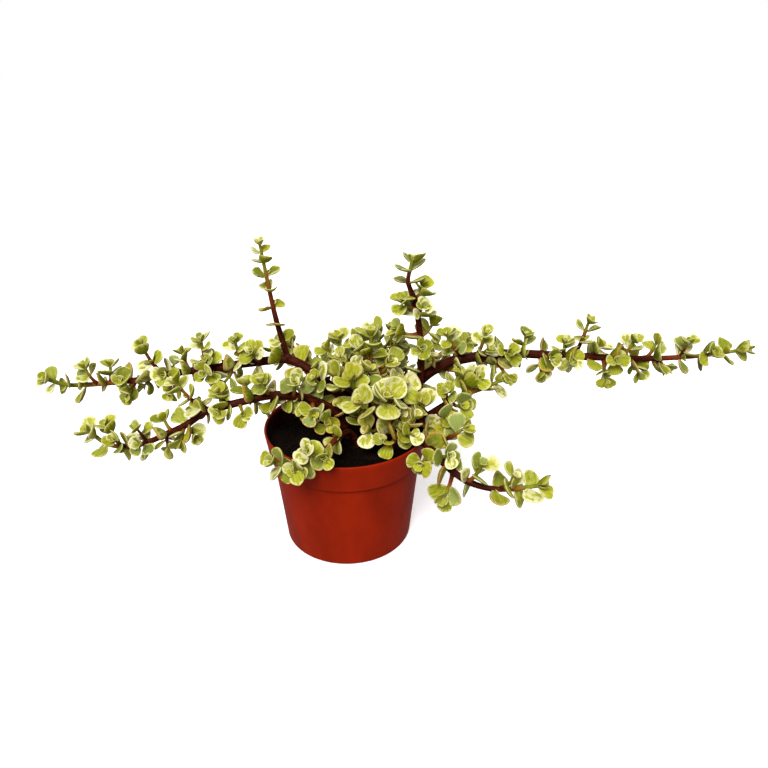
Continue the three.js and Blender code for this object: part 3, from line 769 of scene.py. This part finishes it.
def bark_radius(stem, reached, turn, draw):
    """Radius at places along a stem, swollen at its nodes, and how near a node each is."""
    low, high = stem.radii
    share = reached / reached[-1]
    full = BARK.full if stem.parent_radius is None else 0
    nodes = bark_nodes(stem, draw)
    radius = (low + (high - low) * share * (1 - full * (1 - share))) * np.ones_like(turn)
    near = np.zeros_like(radius)
    for distance, node_turn in nodes:
        away = np.exp(-((reached - distance) / 1.25) ** 2)
        toward = 0.55 + 0.45 * np.cos(2 * (turn - node_turn))
        radius *= 1 + BARK.swell * away * toward
        radius *= 1 - 0.05 * np.exp(-((reached - distance - 1.6) / 0.6) ** 2)
        near = np.maximum(near, away * (0.6 + 0.4 * toward))
    if stem.parent_radius is not None:
        radius *= 1 + 0.35 * np.exp(-np.clip(reached - stem.parent_radius * 0.8, 0, None) / 0.9)
    phases = [tau * draw() for _ in range(4)]  # one more than used, as the later draws count on it
    ridges = (np.sin(3 * turn + reached / 9 + phases[0])
              + np.sin(5 * turn - reached / 6 + phases[1])
              + 0.8 * np.sin(reached / 3.1 + 2 * turn + phases[2]))
    return radius * (1 + 0.018 * ridges), near


def add_stem(bundle, stem, ripe_length, draw):
    """A stem as rings round its smooth line, closed at the foot and rounded at the tip."""
    line = stem.smooth
    sides = BARK.sides if stem.parent_radius is None else BARK.shoot_sides
    turn = turns_round(sides)
    radius, near = bark_radius(stem, line.reached[:, None], turn[None, :], draw)
    across = np.cross(line.directions, line.sides)
    out = (np.cos(turn)[None, :, None] * line.sides[:, None, :]
           + np.sin(turn)[None, :, None] * across[:, None, :])
    rings = line.places[:, None, :] + radius[:, :, None] * out
    tip, heading = line.places[-1], line.directions[-1]
    for far, wide in CAP:
        ring = tip + heading * far * radius[-1].mean() + out[-1] * radius[-1][:, None] * wide
        rings = np.concatenate((rings, ring[None]))
    count = len(rings)
    points = np.concatenate((line.places[:1], rings.reshape(-1, 3),
                             [tip + heading * radius[-1].mean()]))
    reached = np.concatenate((line.reached, [line.length] * len(CAP)))
    offset = 200 * draw()
    bark = np.stack((np.tile(np.cos(turn), count) * 2.2, np.tile(np.sin(turn), count) * 2.2,
                     np.repeat(reached, sides) + offset), axis=1)
    bark = np.concatenate((bark[:1] * (0, 0, 1), bark, bark[-1:] * (0, 0, 1)))
    ripe_length *= 0.75 + 0.5 * draw()
    ripe = np.clip((line.length - reached) / ripe_length, 0, 1)
    ripe = np.concatenate((ripe[:1], np.repeat(ripe, sides), ripe[-1:]))
    near = np.pad(near.ravel(), (1, len(CAP) * sides + 1))
    bundle.add(points, shell_faces(count, sides), bark=bark, ripe=ripe, near_node=near)


def make_wood(cutting, material):
    """A cutting's stem and side shoots as one piece."""
    draw = random_from(cutting.seed + SEEDS.wood)
    bundle = Bundle()
    for stem in cutting.stems:
        add_stem(bundle, stem, ripening(stem, cutting), draw)
    bundle.make(f"{cutting.name}_wood", cutting.name, "stem", material)


# ---- pot

POT_FORM = Values(lip=0.75, lip_steps=7, band_edge=0.45, foot_round=1.6, floor=1.6,
                  drain_rim=8, segments=160, sharp_angle=42)


def arc(centre, radius, start, end, steps):
    """Points (r, z) on an arc, angles in degrees from outward."""
    angles = np.radians(np.linspace(start, end, steps))
    return [(centre[0] + radius * cos(a), centre[1] + radius * sin(a)) for a in angles]


def straight(start, end, steps):
    """Points between two, without them."""
    shares = (np.arange(1, steps) / steps)[:, None]
    return [tuple(p) for p in np.array(start) + shares * (np.array(end) - np.array(start))]


def pot_profile():
    """The pot's section from the middle of its underside, out, up and back in."""
    form, top, foot, edge = POT_FORM, POT.height, POT_FORM.foot_round, POT_FORM.band_edge
    drain = POT.drain_circle - form.drain_rim
    under = [(0.0, 0.0), (10.0, 0.0), (drain, 0.0), (POT.drain_circle + form.drain_rim, 0.0)]
    outer_foot = arc((POT.base_radius - foot + 0.1, foot), foot, -90, 4, 6)
    neck = (POT.neck_radius, BAND_FOOT - 0.15)
    ledge = [(POT.neck_radius + 0.5, BAND_FOOT), (POT.band_foot_radius - edge, BAND_FOOT)]
    band = arc((POT.band_foot_radius - edge, BAND_FOOT + edge), edge, -60, 8, 4)
    rim = arc((POT.rim_radius - form.lip, top - form.lip), form.lip, 0, 180, form.lip_steps)
    inner_band = (POT.band_foot_radius - POT.wall, BAND_FOOT + 0.4)
    inner_neck = (POT.neck_radius - POT.wall, BAND_FOOT - 1.2)
    inner_foot = (POT.base_radius - POT.wall, form.floor)
    return (under + outer_foot + straight(outer_foot[-1], neck, 12) + [neck] + ledge + band
            + straight(band[-1], rim[0], 6) + rim + straight(rim[-1], inner_band, 5)
            + [inner_band, inner_neck] + straight(inner_neck, inner_foot, 5)
            + [inner_foot, (drain, form.floor), (0.0, form.floor)])


def lathe(profile, segments):
    """Vertices and faces of a profile turned round the Z axis, from axis to axis."""
    inner = profile[1:-1]
    turn = turns_round(segments)
    points = [(0.0, 0.0, profile[0][1])]
    for r, z in inner:
        points += [(r * cos(a), r * sin(a), z) for a in turn]
    points.append((0.0, 0.0, profile[-1][1]))
    return points, shell_faces(len(inner), segments)


def drill(piece, places, radius):
    """Cuts upright round holes through a piece's floor."""
    for x, y in places:
        bpy.ops.mesh.primitive_cylinder_add(vertices=40, radius=radius * MM, depth=12 * MM,
                                            location=(x * MM, y * MM, 0))
        cutter = bpy.context.object
        modifier = piece.modifiers.new("hole", "BOOLEAN")
        modifier.object = cutter
        modifier.solver = "EXACT"
        depsgraph = bpy.context.evaluated_depsgraph_get()
        cut = bpy.data.meshes.new_from_object(piece.evaluated_get(depsgraph))
        piece.modifiers.clear()
        piece.data = cut
        bpy.data.objects.remove(cutter)


def make_pot(material):
    bundle = Bundle()
    bundle.add(*lathe(pot_profile(), POT_FORM.segments))
    piece = bundle.make("pot_shell", "pot", "pot", material)
    circle = POT.drain_circle
    places = [(circle * cos(a), circle * sin(a)) for a in turns_round(POT.drains)]
    drill(piece, places, POT.drain_radius)
    piece.data.set_sharp_from_angle(angle=radians(POT_FORM.sharp_angle))


# ---- soil

EARTH = Values(rings=80, segments=200, gap=0.25, grain=1.1, crumbs=420, reach=50)


def earth_height(x, y, edge):
    """The CAD's soil height with clods and grains, calm where it meets the wall."""
    swell = sin(0.21 * x + 1.3) * cos(0.17 * y - 0.4)
    swell += 0.6 * sin(0.09 * x - 0.31 * y + 2.1)
    mound = exp(-((x - 20) ** 2 + y * y) / 900)
    clods = noise.fractal(Vector((x * 0.16, y * 0.16, 3.7)), 0.9, 2.1, 3)
    grains = noise.noise(Vector((x * 0.7, y * 0.7, 9.1)))
    rough = EARTH.grain * (1.3 * clods + 0.5 * grains) * (1 - edge ** 8)
    return SOIL.top + SOIL.swell * swell + SOIL.mound * mound + rough


def crumb(place, size, draw):
    """A lump of peat or bark, as vertices and faces."""
    lump = bmesh.new()
    bmesh.ops.create_icosphere(lump, subdivisions=1, radius=1)
    squash = np.array((1, 0.55 + 0.4 * draw(), 0.4 + 0.3 * draw()))
    turn = Matrix.Rotation(tau * draw(), 3, "Z") @ Matrix.Rotation(draw() - 0.5, 3, "X")
    seed = 50 * draw()
    points = []
    for vertex in lump.verts:
        bump = 1 + 0.45 * noise.noise(vertex.co * 1.3 + Vector((seed, 0, 0)))
        point = Vector(np.array(vertex.co) * squash * bump * size)
        points.append(tuple(np.array(turn @ point) + place))
    faces = [tuple(v.index for v in face.verts) for face in lump.faces]
    lump.free()
    return points, faces


def make_soil(material):
    outer = pot_inside(SOIL.top) - EARTH.gap
    floor = POT_FORM.floor + EARTH.gap
    neck = (POT.neck_radius - POT.wall - 2 * EARTH.gap, BAND_FOOT - 1.5)
    band = (pot_inside(BAND_FOOT + 1) - EARTH.gap - 0.3, BAND_FOOT + 1)
    side = [(0.0, floor), (pot_inside(floor) - EARTH.gap, floor), neck, band]
    shares = 1 - np.arange(EARTH.rings) / EARTH.rings
    top = [(outer * s, SOIL.top) for s in shares] + [(0.0, SOIL.top)]
    points, faces = lathe(side + top, EARTH.segments)
    points = np.array(points)
    for point in points[1 + (len(side) - 1) * EARTH.segments:]:
        x, y = point[:2]
        point[2] = earth_height(x, y, hypot(x, y) / outer)
    bundle = Bundle()
    bundle.add(points, faces)
    draw = random_from(SEEDS.crumbs)
    for _ in range(EARTH.crumbs):
        reach, turn = EARTH.reach * sqrt(draw()), tau * draw()
        x, y = reach * cos(turn), reach * sin(turn)
        size = 0.45 + 1.3 * draw() ** 3
        place = np.array((x, y, earth_height(x, y, reach / outer) + 0.35 * size))
        bundle.add(*crumb(place, size, draw))
    bundle.make("soil_fill", "soil", "soil", material)


# ---- materials


class Output:
    """What a node of a material gives; its methods and its arithmetic make more nodes."""

    def __init__(self, node, socket):
        self.node, self.socket = node, socket

    def __add__(self, other):
        return self.math("ADD", other)

    def __sub__(self, other):
        return self.math("SUBTRACT", other)

    def __mul__(self, other):
        return self.math("MULTIPLY", other)

    def math(self, kind, other=0.0):
        return self.node("Math", 0, (0, self), (1, other), operation=kind)

    def split(self):
        return [self.node("SeparateXYZ", axis, (0, self)) for axis in "XYZ"]

    def stretch(self, *scale):
        return self.node("VectorMath", 0, (0, self), (1, scale), operation="MULTIPLY")

    def noise(self, scale=1.0, detail=2.0, roughness=0.5):
        return self.node("TexNoise", 0, ("Vector", self), ("Scale", scale),
                         ("Detail", detail), ("Roughness", roughness))

    def fade(self, start, end, low=0.0, high=1.0):
        """A smooth change from low to high as the value goes from start to end."""
        return self.node("MapRange", 0, *enumerate((self, start, end, low, high)),
                         interpolation_type="SMOOTHSTEP")


class Surface:
    """A material whose nodes are made and wired by short calls."""

    def __init__(self, name, **constants):
        self.material = bpy.data.materials.new(name)
        self.material.use_nodes = True
        self.nodes = self.material.node_tree.nodes
        self.shader = self.nodes["Principled BSDF"]
        for socket, value in constants.items():
            self.shader.inputs[socket.replace("_", " ")].default_value = value

    def put(self, value, socket):
        if isinstance(value, Output):
            self.material.node_tree.links.new(value.socket, socket)
        elif socket.type == "RGBA":
            socket.default_value = (*value, 1)
        else:
            socket.default_value = value

    def node(self, kind, output, *inputs, **settings):
        """One output of a new node, whose inputs are pairs of a socket's key and a value."""
        node = self.nodes.new(f"ShaderNode{kind}")
        for name, value in settings.items():
            setattr(node, name, value)
        for key, value in inputs:
            self.put(value, node.inputs[key])
        return Output(self.node, node.outputs[output])

    def read(self, name, output="Fac"):
        return self.node("Attribute", output, attribute_name=name)

    def here(self):
        """The place on the object in millimetres."""
        return self.node("TexCoord", "Object").stretch(1000, 1000, 1000)

    def mix(self, share, first, second, kind="MIX"):
        return self.node("Mix", 2, (0, share), (6, first), (7, second),
                         data_type="RGBA", blend_type=kind)

    def finish(self, colour, roughness, height, strength, distance):
        bump = self.node("Bump", 0, ("Height", height), ("Strength", strength),
                         ("Distance", distance))
        for name, value in ("Base Color", colour), ("Roughness", roughness), ("Normal", bump):
            self.put(value, self.shader.inputs[name])
        return self.material


def leaf_material():
    """Fleshy leaves: green in the middle, streaked, with an uneven cream edge and painted shade on
    their undersides.
    """
    s = Surface("leaf", Specular_IOR_Level=0.08)
    place, inset = s.read("place", "Vector"), s.read("inset")
    pale, yellow, flushed = s.read("kind", "Vector").split()
    patches = place.stretch(0.2, 0.34, 1).noise()
    streaks = place.stretch(0.22, 0.85, 1).noise(1.0, 3.0, 0.6)
    # The same all over a leaf: how wide and how soft its edge is, how cool and how deep it is.
    whim = place.stretch(0, 0, 3.1).noise(1.0, 0.0).fade(0.35, 0.65, 0.1, 1.7)
    soft = place.stretch(0, 0, 5.3).noise(1.0, 0.0).fade(0.35, 0.65, 0.3, 1.4)
    cool = place.stretch(0, 0, 7.7).noise(1.0, 0.0).fade(0.5, 0.66, 0, 0.75)
    deep = place.stretch(0, 0, 9.1).noise(1.0, 0.0).fade(0.48, 0.66, 0, 0.6)

    rim_width = patches.fade(0.4, 0.64) * whim + pale * 1.6 + streaks.fade(0.33, 0.67, -0.5, 0.8)
    veiled = pale.fade(0, 0.6) * patches.fade(0.42, 0.6)
    inside = (inset - rim_width).fade(-0.3, soft) * veiled.fade(0, 1, 1, 0.25)

    green = s.mix(yellow, (0.15, 0.185, 0.006), (0.275, 0.285, 0.008))
    light_green = s.mix(yellow, (0.36, 0.385, 0.035), (0.50, 0.485, 0.035))
    centre = s.mix(streaks.fade(0.26, 0.74), green, light_green)
    plain = pale.fade(0.08, 0.4, 1, 0)
    centre = s.mix(cool * plain, centre, (0.28, 0.345, 0.105))
    centre = s.mix(deep * plain, centre, (0.11, 0.14, 0.012))
    cream = s.mix(streaks, (0.46, 0.455, 0.11), (0.64, 0.60, 0.25))
    cream = s.mix(pale.fade(0.1, 0.6, 0, 0.9), cream, (0.78, 0.74, 0.42))
    colour = s.mix(inside, cream, centre)

    flush = flushed * (inset + patches).fade(1.9, 0.6)
    colour = s.mix(flush, colour, (0.56, 0.275, 0.055))
    edge = flushed.fade(0.05, 0.65) * patches.fade(0.42, 0.66) * inset.fade(0.5, 0.1)
    colour = s.mix(edge, colour, (0.36, 0.145, 0.03))
    root = place.split()[0].fade(0.4, 2.4, 0.6, 0)
    colour = s.mix(root, colour, (0.55, 0.34, 0.13))
    # Undersides are darkened and made less blue: painted shade on the side of each leaf turned from
    # the light.
    beneath = s.mix(1.0, colour, (0.52, 0.52, 0.13), "MULTIPLY")
    colour = s.mix(s.read("beneath") * 0.8, colour, beneath)
    return s.finish(colour, streaks.fade(0.2, 0.8, 0.42, 0.56), streaks, 0.15, 0.0004)


def stem_material():
    """Bark from maroon at the foot through red-brown to olive at the tip."""
    s = Surface("stem", Specular_IOR_Level=0.04)
    bark = s.read("bark", "Vector")
    streaks = bark.stretch(1.2, 1.2, 0.16).noise(1.0, 3.0, 0.6)
    spots = bark.stretch(1.6, 1.6, 0.9).noise()
    age = s.read("ripe") + (streaks - 0.5) * 0.3
    colour = s.mix(age.fade(0.18, 0.42), (0.20, 0.22, 0.018), (0.25, 0.11, 0.012))
    colour = s.mix(age.fade(0.38, 0.62), colour, (0.17, 0.030, 0.007))
    maroon = s.mix(streaks.fade(0.38, 0.7), (0.020, 0.003, 0.0012), (0.078, 0.011, 0.004))
    colour = s.mix(age.fade(0.55, 0.95), colour, maroon)
    colour = s.mix(spots.fade(0.66, 0.74, 0, 0.25), colour, (0.24, 0.09, 0.04))
    colour = s.mix(s.read("near_node") * 0.4, colour, (0.06, 0.016, 0.008))
    return s.finish(colour, streaks.fade(0.2, 0.8, 0.4, 0.6), streaks, 0.35, 0.0005)


def pot_material():
    """Satin terracotta-red plastic, faintly mottled, its inner wall darkened by painted shade and
    some peat stain, with a line of painted shade under the band's ledge.
    """
    s = Surface("pot", Specular_IOR_Level=0.05)
    here = s.here()
    mottle = here.stretch(1, 1, 0.5).noise(0.045, 4.0, 0.55)
    fine = here.stretch(1, 1, 0.35).noise(0.6, 3.0, 0.6)
    colour = s.mix(mottle.fade(0.3, 0.7), (0.225, 0.011, 0.001), (0.315, 0.0155, 0.0015))
    colour = s.mix(fine.fade(0.5, 0.85, 0, 0.2), colour, (0.36, 0.026, 0.004))

    x, y, z = here.split()
    reach = (x * x + y * y).math("SQRT")
    slope = (POT.rim_radius - POT.band_foot_radius) / POT.band_height
    outside = (z - POT.height) * slope + POT.rim_radius
    # The inner wall above the band's foot goes near black: painted shade where little light gets
    # into the pot, with some peat stain.
    stain_and_shade = (outside - reach).fade(0.9, 1.3) * z.fade(91, 89)
    stain_and_shade = stain_and_shade * z.fade(BAND_FOOT, BAND_FOOT + 1) * fine.fade(0.2, 0.5, 0.8, 0.97)
    colour = s.mix(stain_and_shade, colour, (0.012, 0.005, 0.003))
    # A dark line just under the band's ledge: painted shade below the step.
    ledge_shade = z.fade(BAND_FOOT - 1.6, BAND_FOOT - 0.4) * z.fade(BAND_FOOT + 0.9, BAND_FOOT)
    colour = s.mix(ledge_shade * 0.7, colour, (0.08, 0.006, 0.003))
    return s.finish(colour, fine.fade(0.2, 0.8, 0.42, 0.55), here.noise(2.2), 0.08, 0.0003)


def soil_material():
    """Near-black damp peat with browner crumbs."""
    s = Surface("soil", Specular_IOR_Level=0.05)
    here = s.here()
    grains = here.noise(0.45, 5.0, 0.65)
    colour = s.mix(grains.fade(0.35, 0.7), (0.0018, 0.0009, 0.0005), (0.008, 0.0036, 0.0018))
    lumps = here.noise(0.12, 3.0).fade(0.58, 0.72, 0, 0.4)
    colour = s.mix(lumps, colour, (0.016, 0.007, 0.0035))
    return s.finish(colour, grains.fade(0.3, 0.7, 0.75, 0.95), grains, 0.8, 0.001)


# ---- stage

CAMERA = Values(place=(0.0276, -0.4473, 0.348), pitch=0.464, lens=32.8125)
SUNS = (
    Values(name="key", toward=(-0.18, -0.63, 0.76), strength=3.7, angle=32),
    Values(name="fill", toward=(0.3, 0.8, 0.5), strength=1.1, angle=60),
)
SKY = Values(seen=1.0, light=0.42)
FLOOR = Values(size=12.0, below=0.0002, tone=0.95, glow=0.3)


def add_suns():
    """A broad soft light from the front, above, and a weak one from behind."""
    for sun in SUNS:
        lamp = bpy.data.lights.new(sun.name, "SUN")
        lamp.energy = sun.strength
        lamp.angle = radians(sun.angle)
        light = add_object(sun.name, lamp)
        light.rotation_euler = (-Vector(sun.toward)).to_track_quat("-Z", "Y").to_euler()


def add_sky():
    """A white backdrop, which lights the plant more weakly than it shows."""
    world = bpy.data.worlds.new("studio")
    world.use_nodes = True
    nodes, links = world.node_tree.nodes, world.node_tree.links
    path = nodes.new("ShaderNodeLightPath")
    strength = nodes.new("ShaderNodeMapRange")
    strength.inputs["To Min"].default_value = SKY.light
    strength.inputs["To Max"].default_value = SKY.seen
    links.new(path.outputs["Is Camera Ray"], strength.inputs["Value"])
    links.new(strength.outputs[0], nodes["Background"].inputs["Strength"])
    nodes["Background"].inputs["Color"].default_value = (1, 1, 1, 1)
    bpy.context.scene.world = world


def add_floor():
    mesh = bpy.data.meshes.new("floor")
    half, z = FLOOR.size / 2, -FLOOR.below
    mesh.from_pydata([(-half, -half, z), (half, -half, z), (half, half, z), (-half, half, z)],
                     [], [(0, 1, 2, 3)])
    floor = add_object("floor", mesh)
    floor.visible_diffuse = False
    floor.visible_glossy = False
    paper = Surface("floor", Base_Color=(FLOOR.tone, FLOOR.tone, FLOOR.tone, 1), Roughness=1.0,
                    Specular_IOR_Level=0.0, Emission_Color=(1, 1, 1, 1),
                    Emission_Strength=FLOOR.glow)
    mesh.materials.append(paper.material)


def add_camera():
    lens = bpy.data.cameras.new("camera")
    lens.lens = CAMERA.lens
    camera = add_object("camera", lens)
    camera.location = CAMERA.place
    camera.rotation_euler = (pi / 2 - CAMERA.pitch, 0, 0)
    bpy.context.scene.camera = camera


# ---- the plant in its pot


def main():
    grow_plant()
    add_spurs()
    add_young_leaves()
    leaf, bark = leaf_material(), stem_material()
    for cutting in CUTTINGS:
        for stem in cutting.stems:
            stem.smooth = line_through(stem.line.places, stem.line.sides[0], BARK.step,
                                       BARK.samples)
        make_leaves(cutting, leaf)
        make_wood(cutting, bark)
    make_pot(pot_material())
    make_soil(soil_material())
    add_floor()
    add_suns()
    add_sky()
    add_camera()
    bpy.context.scene.view_settings.view_transform = "Standard"


main()
